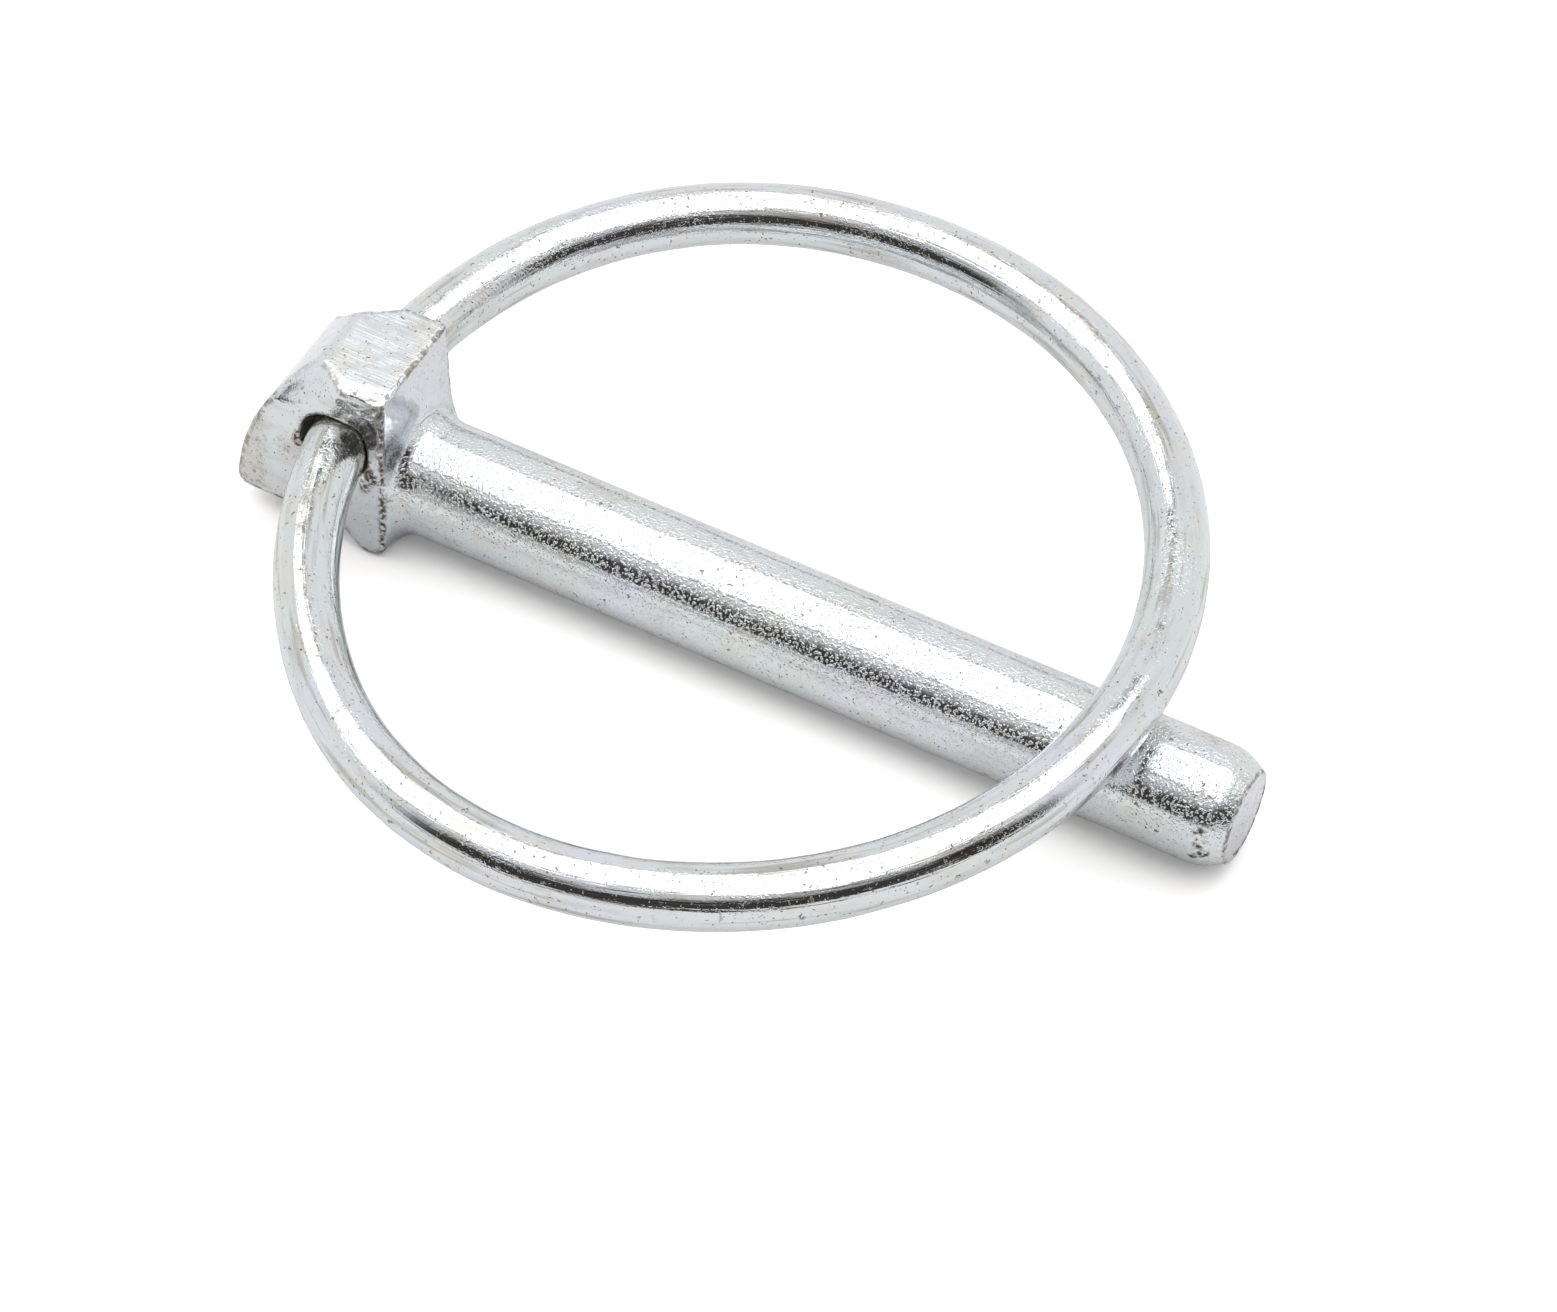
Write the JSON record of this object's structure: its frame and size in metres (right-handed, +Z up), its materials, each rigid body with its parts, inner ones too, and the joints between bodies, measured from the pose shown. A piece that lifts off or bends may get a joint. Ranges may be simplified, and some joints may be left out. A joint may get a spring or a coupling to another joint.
{
  "type": "wire lock pin",
  "caption": "Forged lock pin with a drilled flat-sided head and an oval wire ring that swings over the pin and shuts across its shaft near the tip.",
  "frame": {"origin": "on the shaft's axis, in the plane of the shoulder where the head meets the shaft", "axes": "+X along the shaft to the tip, +Z up to the head's ground top, Y across the head along the ring's pivot; the pin lies as it rests"},
  "size_m": [0.0708, 0.0626, 0.0142],
  "materials": {
    "plated_pin": "bright zinc plate on forged steel, pale blue-grey, finely pitted",
    "plated_wire": "bright zinc plate on drawn spring wire"
  },
  "bodies": {
    "pin": {"lock_pin": "plated_pin"},
    "ring": {"wire_ring": "plated_wire"}
  },
  "joints": [
    {"name": "ring_swing", "type": "hinge", "parent": "pin", "child": "ring", "pos_m": [-0.00365, 0, 0.00465], "axis": [0, -1, 0], "range_deg": [0, 180]}
  ]
}
